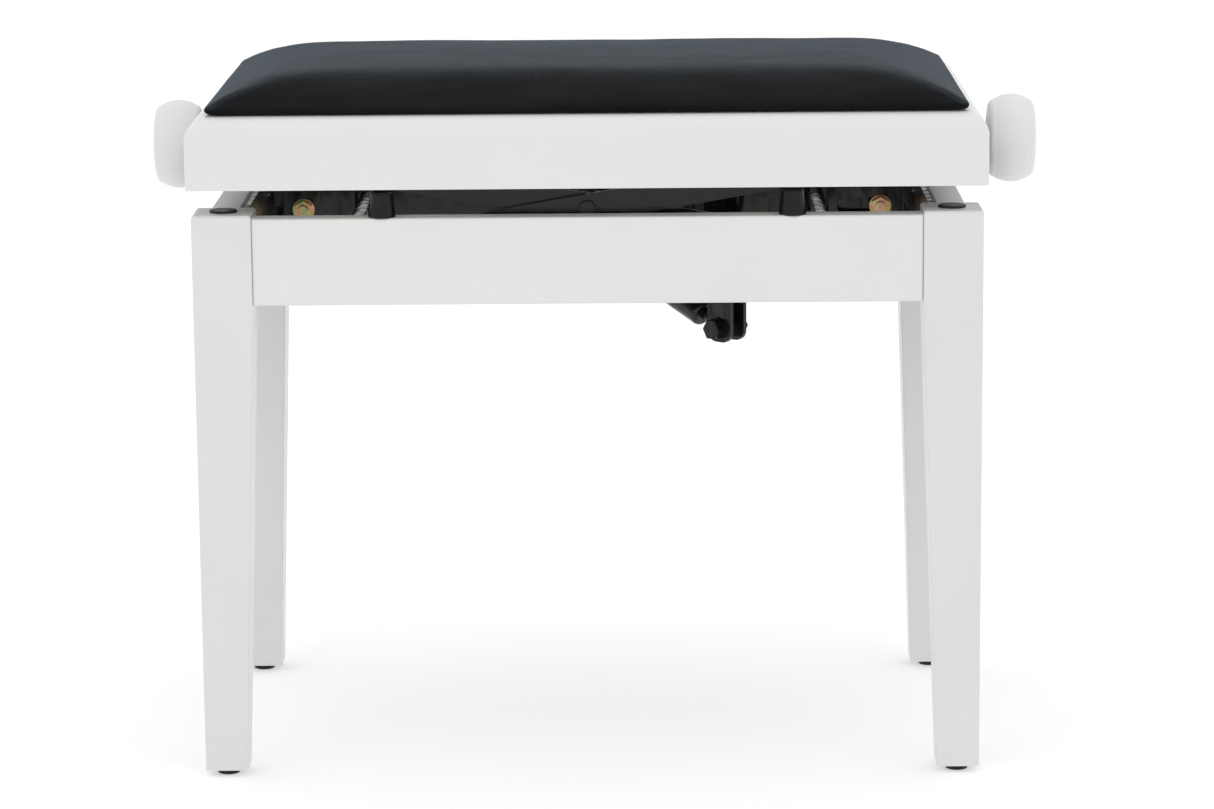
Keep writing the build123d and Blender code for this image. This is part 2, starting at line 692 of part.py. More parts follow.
def yoke():
    """Cross bar moved by the spindle. Its ends hold the arms' studs with play."""
    x = (PIVOT_X - YOKE_W / 2, PIVOT_X + YOKE_W / 2)
    bar = block(x, (-YOKE_HALF, YOKE_HALF), (YOKE_LOW, YOKE_HIGH))
    bar = chamfer(bar.edges().filter_by(Axis.Y), YOKE_CHAMFER)
    for sy in (-1, 1):
        socket = (sy * (YOKE_HALF + PAST), sy * (YOKE_HALF - YOKE_SOCKET))
        bar -= rod_y(PIVOT_X, *socket, UPPER_Z, BOLT_R + 2.0)
    return bar - rod_x(x[0] - PAST, x[1] + PAST, 0, SPINDLE_Z, BEARING_R)


def yoke_nut():
    """Threaded bush pressed into the yoke, with a flange on its inner side."""
    x0, x1 = PIVOT_X - YOKE_W / 2 - YOKE_NUT_FLANGE_T, PIVOT_X + YOKE_W / 2
    body = rod_x(x0, x1, 0, SPINDLE_Z, BEARING_R)
    body += rod_x(x0, x0 + YOKE_NUT_FLANGE_T, 0, SPINDLE_Z, YOKE_NUT_FLANGE_R)
    return body - rod_x(x0 - PAST, x1 + PAST, 0, SPINDLE_Z, SPINDLE_R + RUNNING)


# ---------------------------------------------------------------- lift-assist strut
YAW = math.radians(STRUT_YAW)
RISE = math.radians(STRUT_RISE)
ACROSS = Vector(math.sin(YAW), math.cos(YAW), 0)
LEVEL = Vector(-math.cos(YAW), math.sin(YAW), 0)
ALONG = LEVEL * math.cos(RISE) + Vector(0, 0, math.sin(RISE))
FOOT = Vector(*STRUT_FOOT)
HEAD = FOOT + LEVEL * STRUT_REACH + Vector(0, 0, STRUT_REACH * math.tan(RISE))
STRUT_L = (HEAD - FOOT).length
EAR_OUT = CLEVIS_GAP / 2 + STEEL


def strut_rod(a0, a1, radius):
    """A round bar on the strut's own line, between two distances from its foot."""
    return rod(tuple(FOOT + ALONG * a0), tuple(FOOT + ALONG * a1), radius)


def cross_rod(centre, c0, c1, radius):
    """A round bar square to the strut, through one of its eyes."""
    return rod(tuple(centre + ACROSS * c0), tuple(centre + ACROSS * c1), radius)


def bolt_hole(centre, radius=BOLT_R):
    return cross_rod(centre, -2 * EAR_OUT, 2 * EAR_OUT, radius)


def ear(centre, side, z0, z1, width, shift=0.0, round_top=False):
    """One plate of a clevis, square to the pivot axis, with rounded free ends."""
    c0 = CLEVIS_GAP / 2 if side > 0 else -EAR_OUT
    place = Plane(origin=centre + ACROSS * c0, x_dir=LEVEL, z_dir=ACROSS)
    up = math.copysign(1, place.y_dir.Z)
    middle = up * ((z0 + z1) / 2 - centre.Z)
    outline = place * Pos(shift, middle) * Rectangle(width, z1 - z0)
    plate = extrude(outline, STEEL, dir=ACROSS)
    across = Axis(origin=(0, 0, 0), direction=ACROSS)
    edges = plate.edges().filter_by(across).sort_by(Axis.Z)
    rounded = list(edges) if round_top else list(edges[:2])
    return fillet(rounded, CLEVIS_ROUND)


def strut_clevis():
    """Two long ears joined by a web, welded through the crossbar."""
    z = (FOOT.Z - CLEVIS_DROP, CLEVIS_TOP)
    plates = [ear(FOOT, side, *z, CLEVIS_W, CLEVIS_SHIFT, True) for side in (-1, 1)]
    place = Plane(origin=(FOOT.X, FOOT.Y, WEB_LOW), x_dir=LEVEL, z_dir=(0, 0, 1))
    outline = Pos(-WEB_SHIFT, 0) * Rectangle(WEB_W, CLEVIS_GAP)
    web = extrude(place * outline, WEB_H)
    return plates[0] + plates[1] + web - bolt_hole(FOOT)


def strut_crossbar():
    """Flat bar from the front lower rail to the rear one, cut round the clevis."""
    x = (FOOT.X - CROSSBAR_LEFT, FOOT.X + CROSSBAR_RIGHT)
    y = APRON_IN - PLAY
    bar = block(x, (-y, y), (RAIL_LOW - CROSSBAR_T, RAIL_LOW))
    return bar - strut_clevis() - strut_crossbar_bolts()


def strut_crossbar_bolts():
    left = FOOT.X - CROSSBAR_LEFT + CROSSBAR_BOLT_IN
    right = FOOT.X + CROSSBAR_RIGHT - CROSSBAR_BOLT_IN
    solids = []
    for x in (left, right):
        for y in (-CROSSBAR_BOLT_Y, CROSSBAR_BOLT_Y):
            solids.append(screw((x, y, RAIL_LOW + STEEL), (0, 0, -1), CROSSBAR_BOLT_L))
    return group(solids)


def strut_bolt():
    """Hexagon bolt through the clevis and the strut's eye."""
    out = EAR_OUT + WASHER_T
    under = FOOT - ACROSS * out
    head = hexagon(tuple(under - ACROSS * STRUT_HEAD_T), tuple(under), NUT_FLATS)
    return head + cross_rod(FOOT, -out, out + STRUT_BOLT_TAIL, BOLT_R)


def strut_nut():
    out = EAR_OUT + WASHER_T
    start, end = FOOT + ACROSS * out, FOOT + ACROSS * (out + NUT_T)
    return hexagon(tuple(start), tuple(end), NUT_FLATS) - bolt_hole(FOOT)


def strut_washers():
    discs = [cross_rod(FOOT, s * EAR_OUT, s * (EAR_OUT + WASHER_T), WASHER_R) for s in (-1, 1)]
    return group([disc - bolt_hole(FOOT) for disc in discs])


def strut_tube():
    """Outer cylinder: rounded foot with an eye, hollow above, closed by a gland ring."""
    tube = strut_rod(TUBE_START, TUBE_END, TUBE_R)
    tube = fillet(nearest_rim(tube, FOOT), TUBE_FOOT_ROUND)
    tube -= strut_rod(TUBE_START + FOOT_WALL, TUBE_END - GLAND_L, TUBE_BORE_R)
    tube -= strut_rod(TUBE_END - 2 * GLAND_L, TUBE_END + PAST, ROD_R + RUNNING)
    half = CLEVIS_GAP / 2 - PLAY
    eye = cross_rod(FOOT, -half, half, EYE_R) + strut_rod(0, TUBE_START + PAST, NECK_R)
    return tube + (eye - bolt_hole(FOOT, BOLT_R + RUNNING))


def strut_piston_rod():
    """Rod with a piston at its hidden end and an eye with play at its upper end."""
    body = strut_rod(ROD_START, STRUT_L - EYE_R - PAST, ROD_R)
    body += strut_rod(PISTON_FROM, PISTON_TO, PISTON_R)
    eye = cross_rod(HEAD, -HEAD_EYE_HALF, HEAD_EYE_HALF, HEAD_EYE_R)
    return body + (eye - bolt_hole(HEAD, BOLT_R + HEAD_PLAY))


def strut_saddle():
    """Bracket hung from the seat board that takes the strut's upper eye."""
    top = BOARD_LOW - STEEL
    plates = [ear(HEAD, side, HEAD.Z - SADDLE_DROP, top, SADDLE_EAR_W) for side in (-1, 1)]
    place = Plane(origin=(HEAD.X, HEAD.Y, top), x_dir=LEVEL, z_dir=(0, 0, 1))
    foot_plate = extrude(place * Rectangle(SADDLE_EAR_W + 2 * SADDLE_EAR_L, SADDLE_W), STEEL)
    return plates[0] + plates[1] + foot_plate - bolt_hole(HEAD) - seat_screws()


def saddle_screw_spots():
    offset = SADDLE_EAR_W / 2 + SADDLE_EAR_L - SADDLE_SCREW_IN
    spots = [HEAD + LEVEL * side * offset for side in (-1, 1)]
    return [(spot.X, spot.Y) for spot in spots]


def strut_saddle_pin():
    pin = cross_rod(HEAD, -PIN_HALF, PIN_HALF, BOLT_R)
    for side in (-1, 1):
        inner = PIN_HALF - 1.0
        pin += cross_rod(HEAD, side * inner, side * (inner + PIN_HEAD_T), PIN_HEAD_R)
    return pin


# ---------------------------------------------------------------- hand out the nodes
def side_name(sx):
    return "left" if sx < 0 else "right"


def end_name(sy):
    return "front" if sy < 0 else "rear"


def wooden_base():
    nodes = {}
    for sx, sy in CORNERS:
        nodes[f"leg_{end_name(sy)}_{side_name(sx)}"] = leg(sx, sy)
    nodes["apron_front"], nodes["apron_rear"] = front_and_rear(long_apron_front())
    for sx in (-1, 1):
        nodes[f"apron_{side_name(sx)}"] = side_apron(sx)
    nodes["apron_dowels"] = group(all_dowels())
    nodes["foot_glides"] = group([foot_glide(*corner) for corner in CORNERS])
    nodes["leg_top_pads"] = group([leg_pad(*corner) for corner in CORNERS])
    nodes["bumper_stops"] = pairs(bumper_front(-BUMPER_X), bumper_front(BUMPER_X))
    return nodes


def lower_steel():
    inner = -BRACKET_OUT + STEEL
    return {
        "lower_rails": pairs(lower_rail_front()),
        "side_ties": group([side_tie(-1), side_tie(1)]),
        "pivot_brackets_left": pairs(pivot_bracket_front(-1)),
        "pivot_brackets_right": pairs(pivot_bracket_front(1)),
        "fixed_pivot_bolts": pairs(fixed_pivot_bolt()),
        "fixed_pivot_spacers": pairs(fixed_pivot_spacer()),
        "fixed_pivot_washers": pairs(washer(-PIVOT_X, PIVOT_Z, inner)),
        "fixed_pivot_nuts": pairs(nut(-PIVOT_X, PIVOT_Z, inner + WASHER_T)),
        "frame_screws": group([rail_screws(), tie_screws(), strut_crossbar_bolts()]),
    }


def arms():
    hung = -UPPER_OUT + STEEL + PLAY
    slid = -BRACKET_OUT + STEEL + PLAY
    crossed = -FALLING_OUT + ARM_T + SIDE_PLAY + WASHER_T
    return {
        "rising_arms": pairs(rising_arm_front()),
        "falling_arms": pairs(falling_arm_front()),
        "rising_arm_tie": arm_tie(RISING_OUT, ARM_TIE_AT - ARM_HALF, 1),
        "falling_arm_tie": arm_tie(FALLING_OUT, ARM_HALF - ARM_TIE_AT, -1),
        "centre_bolts": pairs(centre_bolt()),
        "centre_washers": pairs(*centre_washers()),
        "centre_nuts": pairs(nut(0, CENTRE_Z, crossed)),
        "slide_pins": pairs(slide_pin()),
        "slide_bushes": pairs(*slide_bushes()),
        "slide_spacers": pairs(*slide_spacers()),
        "slide_washers": pairs(washer(PIVOT_X, PIVOT_Z, slid)),
        "falling_arm_nuts": pairs(
            nut(-PIVOT_X, UPPER_Z, hung),
            nut(PIVOT_X, PIVOT_Z, slid + WASHER_T),
        ),
    }


def seat():
    return {
        "seat_rail_front": seat_rail(0, SEAT_W / 2, SEAT_D / 2),
        "seat_rail_rear": seat_rail(180, SEAT_W / 2, SEAT_D / 2),
        "seat_rail_left": side_seat_rail(-1),
        "seat_rail_right": side_seat_rail(1),
        "seat_board": seat_board(),
        "seat_cushion": cushion(),
        "upper_rails": pairs(upper_rail_front()),
        "end_plates": group([end_plate(-1), end_plate(1)]),
        "spindle_bearings": group([spindle_bearing(-1), spindle_bearing(1)]),
        "spindle_escutcheons": group([escutcheon(-1), escutcheon(1)]),
        "seat_screws": seat_screws(),
    }


def drive():
    return {
        "spindle": spindle(),
        "knob_left": knob(-1),
        "knob_right": knob(1),
        "knob_screws": group([knob_screw(-1), knob_screw(1)]),
        "spindle_collars": group([set_collar(-1), set_collar(1), stand_off()]),
        "yoke": yoke(),
        "yoke_nut": yoke_nut(),
    }


def strut():
    return {
        "strut_crossbar": strut_crossbar(),
        "strut_clevis": strut_clevis(),
        "strut_bolt": strut_bolt(),
        "strut_nut": strut_nut(),
        "strut_washers": strut_washers(),
        "strut_tube": strut_tube(),
        "strut_rod": strut_piston_rod(),
        "strut_saddle": strut_saddle(),
        "strut_saddle_pin": strut_saddle_pin(),
    }


os.makedirs("parts", exist_ok=True)
for make in (wooden_base, lower_steel, arms, seat, drive, strut):
    for node, shape in make().items():
        export_step(shape, f"parts/{node}.step")
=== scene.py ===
import json
import math

import bpy
from mathutils import Matrix, Vector, noise


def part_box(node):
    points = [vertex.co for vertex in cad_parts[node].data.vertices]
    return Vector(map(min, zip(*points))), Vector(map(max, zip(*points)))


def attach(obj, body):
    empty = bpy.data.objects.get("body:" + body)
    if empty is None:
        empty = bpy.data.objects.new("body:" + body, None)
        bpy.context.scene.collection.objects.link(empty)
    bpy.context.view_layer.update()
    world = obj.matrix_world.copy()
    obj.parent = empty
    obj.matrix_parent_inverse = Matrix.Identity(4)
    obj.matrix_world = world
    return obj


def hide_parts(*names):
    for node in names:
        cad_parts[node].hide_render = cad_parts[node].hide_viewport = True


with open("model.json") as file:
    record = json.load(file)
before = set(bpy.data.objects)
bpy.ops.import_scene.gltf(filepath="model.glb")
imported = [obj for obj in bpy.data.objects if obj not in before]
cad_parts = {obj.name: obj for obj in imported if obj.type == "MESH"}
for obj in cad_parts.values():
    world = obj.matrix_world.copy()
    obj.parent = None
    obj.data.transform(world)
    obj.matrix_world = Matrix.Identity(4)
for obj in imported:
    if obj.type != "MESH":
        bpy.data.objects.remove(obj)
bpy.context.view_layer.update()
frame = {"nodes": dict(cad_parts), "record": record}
NODES = frame["nodes"]
MM = 0.001

# ---- camera, in metres, degrees and millimetres of lens ----
CAMERA_AT = (0.03761, -3.01491, 0.83832)
CAMERA_PITCH = 11.288
CAMERA_YAW = -0.5
CAMERA_ROLL = -0.493
CAMERA_LENS = 123.74
SENSOR = 36.0

# ---- studio ----
FLOOR_REACH = 14.0
FLOOR_GLOW = 0.36
SKY_STRENGTH = 1.0

# ---- cushion ----
CUSHION_LOW, CUSHION_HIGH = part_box("seat_cushion")
EDGE_H = 7.6 * MM
SLOPE = 76 * MM
SLOPE_RISE = 16.2 * MM
SLOPE_BEND = 2.15
SLOPE_STEPS = 12
CROWN_RISE = 1.0 * MM
CORNER_R = 5 * MM
OVERHANG = 2.7 * MM
VOXEL = 4.6 * MM
CLOTH_FRAMES = 20
SWELL_CAP = 1.8 * MM
CALM_ROUNDS = 45
TACKED_H = 6 * MM
TUCK_DEPTH = 0.5 * MM
TUCK_LENGTH = 34 * MM
TUCK_WIDTH = 2.6 * MM
FLAT_H = 0.3 * MM
CORNER_STEPS = 10
SIDE_STEPS = 48

# ---- spindle thread ----
THREAD_PITCH = 3.0 * MM
THREAD_DEPTH = 0.9 * MM
THREAD_SIDES = 20
THREAD_STEPS = 6
PLATE_GAP = 8 * MM
END_EASE = 0.8 * MM


# ================================================================ shader maths
class Level:
    """A number that varies over a surface. Arithmetic on it adds Math nodes."""

    def __init__(self, finish, socket):
        self.finish = finish
        self.socket = socket

    def _math(self, operation, first, second):
        return self.finish.node("Math", {"operation": operation}, {0: first, 1: second})

    def __add__(self, other):
        return self._math("ADD", self, other)

    __radd__ = __add__

    def __mul__(self, other):
        return self._math("MULTIPLY", self, other)

    __rmul__ = __mul__


class Finish:
    """One procedural finish. Sockets that are the same all over are set as constants."""

    def __init__(self, name, **constants):
        self.material = bpy.data.materials.new(name)
        self.material.use_nodes = True
        self.tree = self.material.node_tree
        self.shader = self.tree.nodes["Principled BSDF"]
        self.drive(**constants)

    def node(self, kind, settings=(), inputs=(), output=0):
        """Adds a node, its settings first, and returns one of its outputs."""
        made = self.tree.nodes.new("ShaderNode" + kind)
        for label, value in dict(settings).items():
            if label == "stops":
                self._stops(made.color_ramp, value)
            else:
                setattr(made, label, value)
        for label, value in dict(inputs).items():
            self._feed(made.inputs[label], value)
        return Level(self, made.outputs[output])

    def _feed(self, socket, value):
        if isinstance(value, Level):
            self.tree.links.new(value.socket, socket)
        else:
            socket.default_value = value

    def _stops(self, ramp, stops):
        while len(ramp.elements) < len(stops):
            ramp.elements.new(1.0)
        for element, (place, colour) in zip(ramp.elements, stops):
            element.position = place
            element.color = colour

    def drive(self, **links):
        """Feeds the shader's own sockets, which are named here in lower case."""
        for label, value in links.items():
            socket = label.replace("_", " ").title().replace("Ior", "IOR")
            self._feed(self.shader.inputs[socket], value)
        return self

    def place(self, stretch=(1, 1, 1), shift=(0, 0, 0)):
        at = self.node("TexCoord", output="Object")
        return self.node("Mapping", {}, {"Vector": at, "Scale": stretch, "Location": shift})

    def cloud(self, scale, detail=3.0, rough=0.5, stretch=(1, 1, 1), shift=(0, 0, 0)):
        inputs = {"Vector": self.place(stretch, shift), "Scale": scale}
        inputs.update({"Detail": detail, "Roughness": rough})
        return self.node("TexNoise", {}, inputs)

    def spread(self, level, low, high, to_low=0.0, to_high=1.0):
        """Stretches a level from one range to another, and clamps it."""
        inputs = {"From Min": low, "From Max": high, "To Min": to_low, "To Max": to_high}
        return self.node("MapRange", {"clamp": True}, {"Value": level, **inputs})

    def blend(self, factor, first, second):
        """Mixes two colours."""
        return self.node("Mix", {"data_type": "RGBA"}, {0: factor, 6: first, 7: second}, output=2)

    def bump(self, height, distance, strength=1.0, under=None):
        inputs = {"Height": height, "Distance": distance, "Strength": strength}
        if under is not None:
            inputs["Normal"] = under
        return self.node("Bump", {}, inputs)


def rgb(red, green, blue):
    return (red, green, blue, 1.0)


# ================================================================ finishes
GRAIN = {"x": (0.05, 1, 1), "y": (1, 0.05, 1), "z": (1, 1, 0.05)}


def lacquer(name, along, shade=1.0):
    """Satin white lacquer over a fine-pored wood, with the grain along one axis. Its base colour is scaled
    by a shade factor; a lower factor paints shade into the colour.
    """
    finish = Finish(name, coat_roughness=0.22, specular_ior_level=0.42)
    drift = finish.cloud(7, detail=2, shift=(0.3, 0.1, 0.7))
    grain = finish.cloud(420, detail=4, rough=0.6, stretch=GRAIN[along])
    pores = finish.spread(grain, 0.60, 0.74)
    peel = finish.cloud(520, detail=1)
    pale = rgb(0.715 * shade, 0.728 * shade, 0.712 * shade)
    cool = rgb(0.690 * shade, 0.708 * shade, 0.706 * shade)
    colour = finish.blend(finish.spread(drift, 0.35, 0.65), pale, cool)
    colour = finish.blend(pores * 0.05, colour, rgb(0.55, 0.55, 0.52))
    marks = finish.cloud(38, detail=5, rough=0.65, shift=(2, 5, 1))
    rough = finish.spread(marks, 0.3, 0.7, 0.30, 0.42)
    relief = finish.bump(peel, 0.00006, 0.35)
    relief = finish.bump(grain, 0.00010, 0.30, relief)
    finish.drive(base_color=colour, roughness=rough, normal=relief, coat_weight=0.12)
    return finish.material


def velour():
    """Short-pile black velour: dark face on, slate grey along the surface, with lint."""
    finish = Finish("black_velour", sheen_weight=1.0, sheen_roughness=0.15, specular_ior_level=0.10)
    finish.drive(sheen_tint=rgb(0.30, 0.365, 0.42))
    pile = finish.cloud(2600, detail=2, rough=0.7)
    brushed = finish.cloud(26, detail=4, rough=0.6, stretch=(0.35, 1, 1))
    cross = finish.cloud(240, detail=3, stretch=(1, 0.3, 1), shift=(1, 4, 2))
    dark = rgb(0.0045, 0.0050, 0.0058)
    worn = rgb(0.0085, 0.0098, 0.0115)
    colour = finish.blend(finish.spread(brushed, 0.38, 0.66), dark, worn)
    fuzz = finish.spread(finish.cloud(620, detail=1, stretch=(1, 0.35, 1)), 0.765, 0.80)
    near = finish.spread(finish.cloud(30, detail=2, shift=(7, 1, 3)), 0.55, 0.65)
    colour = finish.blend(fuzz * near * 0.5, colour, rgb(0.20, 0.22, 0.23))
    rough = finish.spread(pile, 0.3, 0.7, 0.82, 1.0)
    relief = finish.bump(cross, 0.0005, 0.35)
    relief = finish.bump(pile, 0.0004, 0.55, relief)
    return finish.drive(base_color=colour, roughness=rough, normal=relief).material


def enamel():
    """Gloss black stove enamel that flowed a little before it set."""
    finish = Finish("black_enamel", specular_ior_level=0.32)
    flow = finish.cloud(60, detail=2)
    specks = finish.spread(finish.cloud(900, detail=2, shift=(4, 0, 2)), 0.66, 0.72)
    tint = finish.blend(flow, rgb(0.006, 0.006, 0.006), rgb(0.011, 0.010, 0.009))
    tint = finish.blend(specks * 0.25, tint, rgb(0.05, 0.045, 0.04))
    rough = finish.spread(flow, 0.3, 0.7, 0.08, 0.20)
    runs = finish.cloud(110, detail=1, stretch=(1, 1, 0.3), shift=(5, 1, 2))
    relief = finish.bump(runs, 0.0016, 0.45)
    relief = finish.bump(finish.cloud(700, detail=1), 0.00008, 0.4, relief)
    return finish.drive(base_color=tint, roughness=rough, normal=relief).material


def yellow_zinc():
    """Yellow passivated zinc, with pink and green in the film."""
    finish = Finish("yellow_zinc", metallic=1.0)
    film = finish.cloud(85, detail=2)
    stops = [(0.38, rgb(0.34, 0.46, 0.20)), (0.46, rgb(0.62, 0.47, 0.18))]
    stops += [(0.54, rgb(0.66, 0.30, 0.24)), (0.62, rgb(0.70, 0.58, 0.30))]
    colour = finish.node("ValToRGB", {"stops": stops}, {"Fac": film})
    scratch = finish.cloud(1500, detail=2, stretch=(1, 1, 0.1))
    rough = finish.spread(scratch, 0.3, 0.7, 0.20, 0.42)
    relief = finish.bump(scratch, 0.00005, 0.5)
    return finish.drive(base_color=colour, roughness=rough, normal=relief).material


def drawn_steel():
    """Bright drawn bar with a film of oil and fine lines along its length."""
    finish = Finish("bright_steel", metallic=1.0)
    lines = finish.cloud(1400, detail=3, stretch=(0.02, 1, 1))
    oil = finish.cloud(45, detail=3, shift=(3, 2, 6))
    clean, oily = rgb(0.62, 0.62, 0.63), rgb(0.34, 0.31, 0.27)
    colour = finish.blend(finish.spread(oil, 0.42, 0.68), clean, oily)
    rough = finish.spread(lines, 0.3, 0.7, 0.16, 0.34)
    relief = finish.bump(lines, 0.00004, 0.5)
    return finish.drive(base_color=colour, roughness=rough, normal=relief).material


def brass():
    """Turned brass with fine rings and some tarnish."""
    finish = Finish("turned_brass", metallic=1.0)
    tarnish = finish.cloud(70, detail=4, rough=0.6)
    clean, dull = rgb(0.80, 0.61, 0.30), rgb(0.42, 0.29, 0.14)
    colour = finish.blend(finish.spread(tarnish, 0.4, 0.7), clean, dull)
    rings = finish.cloud(1600, detail=1, stretch=(1, 0.05, 0.05))
    rough = finish.spread(rings, 0.3, 0.7, 0.20, 0.38)
    relief = finish.bump(rings, 0.00004, 0.5)
    return finish.drive(base_color=colour, roughness=rough, normal=relief).material


def nylon():
    """Natural moulded nylon, a little translucent."""
    finish = Finish("natural_nylon", subsurface_weight=0.15)
    mottle = finish.cloud(120, detail=3)
    colour = finish.blend(mottle, rgb(0.70, 0.68, 0.60), rgb(0.78, 0.77, 0.71))
    rough = finish.spread(mottle, 0.3, 0.7, 0.38, 0.52)
    relief = finish.bump(mottle, 0.0001, 0.3)
    return finish.drive(base_color=colour, roughness=rough, normal=relief).material


def moulded(name, low, high, tint):
    """Black moulded plastic. Low and high are its roughness range."""
    finish = Finish(name, specular_ior_level=0.24)
    spark = finish.cloud(1800, detail=2)
    wear = finish.cloud(90, detail=4, shift=(3, 3, 1))
    grey = rgb(tint * 2.2, tint * 2.2, tint * 2.3)
    colour = finish.blend(finish.spread(wear, 0.5, 0.75), rgb(tint, tint, tint), grey)
    rough = finish.spread(wear, 0.3, 0.7, low, high)
    relief = finish.bump(spark, 0.00006, 0.5)
    return finish.drive(base_color=colour, roughness=rough, normal=relief).material


def bare_wood(name, pale, dark, along):
    """Unfinished wood: rings, rays and pores along one axis."""
    finish = Finish(name, specular_ior_level=0.3)
    bend = finish.cloud(9, detail=2, stretch=GRAIN[along])
    rings = finish.cloud(85, detail=5, rough=0.65, stretch=GRAIN[along], shift=(1, 2, 0)) + bend * 0.3
    pores = finish.spread(finish.cloud(900, detail=3, stretch=GRAIN[along]), 0.60, 0.72)
    colour = finish.blend(finish.spread(rings, 0.48, 0.82), pale, dark)
    colour = finish.blend(pores * 0.4, colour, rgb(0.25, 0.16, 0.09))
    rough = finish.spread(rings, 0.4, 0.9, 0.55, 0.75)
    relief = finish.bump(pores, 0.0002, 0.5)
    return finish.drive(base_color=colour, roughness=rough, normal=relief).material


def make_finishes():
    """Finishes by the record's slot, and the lacquers by the way their wood runs. The legs' lacquer gets a
    darker base colour, which is painted shade.
    """
    lacquers = {
        "x": lacquer("white_lacquer_x", "x", 0.98),
        "y": lacquer("white_lacquer_y", "y", 0.98),
        # Painted shade: the legs have the same white paint as the rest, but their base colour is set
        # darker.
        "z": lacquer("white_lacquer_z_painted_shade", "z", 0.945),
        "knob": lacquer("white_lacquer_knob", "x", 0.98),
    }
    slots = {
        "black_velour": velour(),
        "black_steel": enamel(),
        "yellow_zinc": yellow_zinc(),
        "bright_steel": drawn_steel(),
        "brass": brass(),
        "nylon": nylon(),
        "black_plastic": moulded("black_plastic", 0.34, 0.52, 0.012),
        "gloss_black_plastic": moulded("gloss_black_plastic", 0.05, 0.12, 0.005),
        "plywood": bare_wood("birch_plywood", rgb(0.66, 0.50, 0.33), rgb(0.52, 0.37, 0.22), "x"),
        "beech": bare_wood("beech", rgb(0.62, 0.42, 0.27), rgb(0.50, 0.32, 0.20), "y"),
    }
    return lacquers, slots


def grain_of(node):
    """Which way the wood of a lacquered node runs."""
    if node.startswith("knob"):
        return "knob"
    if node.startswith("leg"):
        return "z"
    return "x" if node.endswith(("front", "rear")) else "y"


def paint(piece, material):
    piece.data.materials.clear()
    piece.data.materials.append(material)


def paint_nodes(lacquers, slots):
    """Gives every CAD node its finish and smooth shading on its round faces."""
    for entry in frame["record"]["subparts"]:
        node, slot = entry["node"], entry["material_slot"]
        piece = NODES[node]
        paint(piece, lacquers[grain_of(node)] if slot == "white_lacquer" else slots[slot])
        piece.data.shade_smooth()
        piece.data.set_sharp_from_angle(angle=math.radians(28))


# ================================================================ mesh helpers
def mesh_piece(name, vertices, faces, material, smooth=True):
    mesh = bpy.data.meshes.new(name)
    mesh.from_pydata([tuple(v) for v in vertices], [], faces)
    mesh.update()
    piece = bpy.data.objects.new(name, mesh)
    bpy.context.scene.collection.objects.link(piece)
    paint(piece, material)
    if smooth:
        mesh.shade_smooth()
    return piece


def tube_faces(rings, around):
    """Quads between rings of points that lie one after another."""
    faces = []
    for ring in range(rings - 1):
        base = ring * around
        for i in range(around):
            j = (i + 1) % around
            faces.append((base + i, base + j, base + around + j, base + around + i))
    return faces


def bake_modifiers(piece):
    """Replaces the piece's mesh by what its modifiers give."""
    graph = bpy.context.evaluated_depsgraph_get()
    result = bpy.data.meshes.new_from_object(piece.evaluated_get(graph))
    piece.modifiers.clear()
    old = piece.data
    piece.data = result
    bpy.data.meshes.remove(old)


# ================================================================ cushion
def cushion_outline(inset, z, centre, half_x, half_y):
    """A rounded rectangle's points at one height, set in from the cushion's edge."""
    radius = CORNER_R + inset * 0.5
    hx, hy = half_x - inset - radius, half_y - inset - radius
    quarter = [(hx, hy, 0), (-hx, hy, 90), (-hx, -hy, 180), (hx, -hy, 270)]
    ring = []
    for index, (cx, cy, start) in enumerate(quarter):
        for step in range(CORNER_STEPS + 1):
            turn = math.radians(start + 90 * step / CORNER_STEPS)
            x, y = cx + radius * math.cos(turn), cy + radius * math.sin(turn)
            ring.append(Vector((centre.x + x, centre.y + y, z)))
        after = quarter[(index + 1) % 4]
        turn = math.radians(start + 90)
        end = Vector((cx + radius * math.cos(turn), cy + radius * math.sin(turn)))
        begin = Vector((after[0] + radius * math.cos(turn), after[1] + radius * math.sin(turn)))
        for step in range(1, SIDE_STEPS):
            spot = end.lerp(begin, step / SIDE_STEPS)
            ring.append(Vector((centre.x + spot.x, centre.y + spot.y, z)))
    return ring


def cushion_profile():
    """(inset, height) pairs from the underside, up the edge, over the slope to the crown."""
    pairs = [(30 * MM, 0.0), (3 * MM, 0.0), (1.2 * MM, 0.5 * MM), (0.6 * MM, 2.0 * MM)]
    pairs += [(0.3 * MM, 5.0 * MM), (1.0 * MM, EDGE_H)]
    for step in range(1, SLOPE_STEPS + 1):
        t = step / SLOPE_STEPS
        rise = 1 - (1 - t) ** SLOPE_BEND
        pairs.append((1.0 * MM + SLOPE * t, EDGE_H + SLOPE_RISE * rise))
    top = EDGE_H + SLOPE_RISE
    pairs += [(105 * MM, top + CROWN_RISE * 0.7), (125 * MM, top + CROWN_RISE)]
    return pairs


def cushion_start():
    """The closed form that the cloth starts from."""
    centre = (CUSHION_LOW + CUSHION_HIGH) / 2
    half_x = (CUSHION_HIGH.x - CUSHION_LOW.x) / 2 + OVERHANG
    half_y = (CUSHION_HIGH.y - CUSHION_LOW.y) / 2 + OVERHANG
    vertices, around = [], 4 * (CORNER_STEPS + SIDE_STEPS)
    profile = cushion_profile()
    for inset, height in profile:
        vertices += cushion_outline(inset, CUSHION_LOW.z + height, centre, half_x, half_y)
    faces = tube_faces(len(profile), around)
    faces.append(tuple(reversed(range(around))))
    faces.append(tuple(range(len(vertices) - around, len(vertices))))
    return vertices, faces


def pinned(piece):
    """Group of the points that are tacked down: the underside and the edge's lower part."""
    group = piece.vertex_groups.new(name="tacked")
    for vertex in piece.data.vertices:
        height = vertex.co.z - CUSHION_LOW.z
        if height < TACKED_H:
            group.add([vertex.index], 1.0, "REPLACE")
    return group.name


